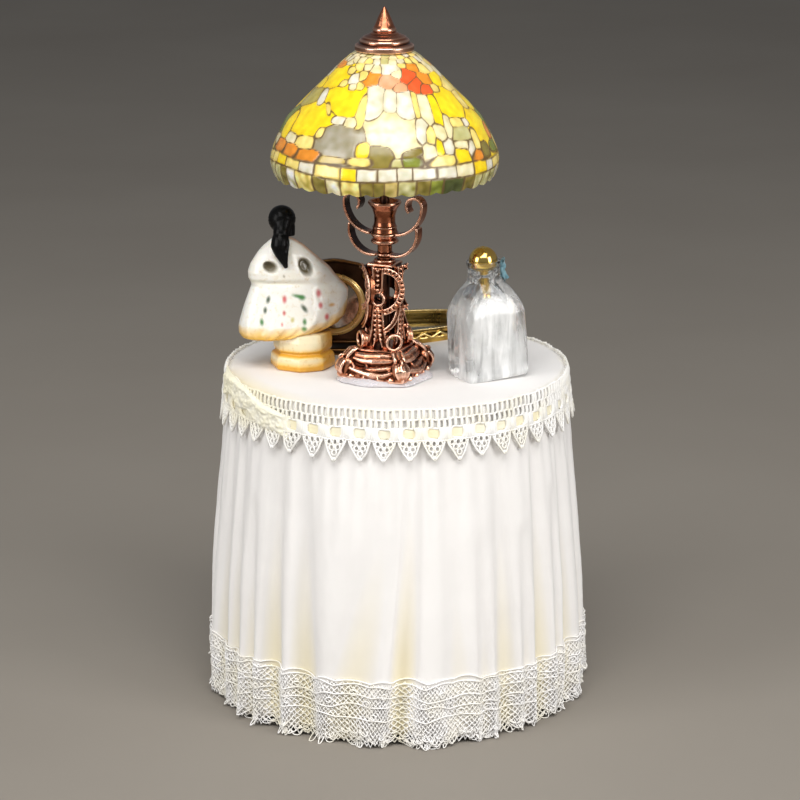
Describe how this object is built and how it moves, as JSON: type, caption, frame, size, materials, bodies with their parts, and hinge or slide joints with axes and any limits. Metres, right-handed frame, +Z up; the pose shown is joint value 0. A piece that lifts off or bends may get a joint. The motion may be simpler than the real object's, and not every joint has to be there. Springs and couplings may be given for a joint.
{
  "type": "miniature dressing table",
  "caption": "Round skirted dolls house dressing table with lace trim, set with a domed lamp, a china lady, a scent bottle, an oval tray and a swing mirror.",
  "frame": {"origin": "on the floor under the centre of the table", "axes": "+X to the user's right, -Y towards the user, +Z up"},
  "size_m": [0.0736, 0.0736, 0.1324],
  "materials": {
    "wood": "planed, unfinished",
    "screw_steel": "zinc plated",
    "cotton": "plain weave cotton",
    "lace": "cream cotton lace",
    "ribbon": "cream satin ribbon",
    "glued_lace": "lace stiffened with yellowed glue",
    "wax": "clear wax",
    "copper": "copper plated casting, dark in its recesses",
    "seat_brass": "turned brass",
    "leaded_shade": "glossy painted leaded-glass pattern",
    "china": "white glaze with painted sprigs and a gold edge",
    "china_gold": "cream glaze with amber gold bands",
    "china_black": "black glaze",
    "bottle_crystal": "clear moulded glass",
    "bead_gold": "polished gold",
    "blue_ribbon": "pale blue satin",
    "gilt": "antique gilt",
    "silvering": "dark mirror",
    "bronze": "dark brown bronze",
    "backing": "brown backing paper"
  },
  "bodies": {
    "table": {"foot_board": "wood", "pedestal": "wood", "top_board": "wood", "board_screws": "screw_steel", "top_cloth": "cotton", "skirt": "cotton", "top_lace": "lace", "hem_lace": "lace", "lace_ribbon": "ribbon", "lace_overlap": "glued_lace", "lamp_wax": "wax", "lamp_foot": "copper", "lamp_column": "copper", "lamp_neck": "copper", "lamp_lower_scrolls": "copper", "lamp_upper_scrolls": "copper", "lamp_vase": "copper", "lamp_stem": "copper", "shade_seat": "seat_brass", "figurine_gown": "china", "figurine_mantle": "china", "figurine_head": "china", "figurine_plinth": "china_gold", "figurine_hair": "china_black", "bottle_glass": "bottle_crystal", "neck_ribbon": "blue_ribbon", "tray_plate": "gilt", "tray_gallery": "gilt", "mirror_pivots": "gilt", "tray_mirror": "silvering", "mirror_stand": "bronze"},
    "finial": {"finial_cap": "copper", "finial_cone": "copper"},
    "shade": {"shade": "leaded_shade"},
    "stopper": {"stopper_bead": "bead_gold", "stopper_pin": "bead_gold"},
    "mirror": {"mirror_frame": "bronze", "mirror_bezel": "gilt", "mirror_glass": "silvering", "mirror_back": "backing"}
  },
  "joints": [
    {"name": "shade_lift", "type": "slide", "parent": "table", "child": "shade", "axis": [0, 0, 1], "range_m": [0, 0.03]},
    {"name": "finial_lift", "type": "slide", "parent": "shade", "child": "finial", "axis": [0, 0, 1], "range_m": [0, 0.006]},
    {"name": "stopper_lift", "type": "slide", "parent": "table", "child": "stopper", "axis": [-0.0576, 0, 0.9983], "range_m": [0, 0.01]},
    {"name": "mirror_tilt", "type": "hinge", "parent": "table", "child": "mirror", "pos_m": [-0.012, 0.0083, 0.073], "axis": [1, 0, 0], "range_deg": [-20, 15]}
  ]
}
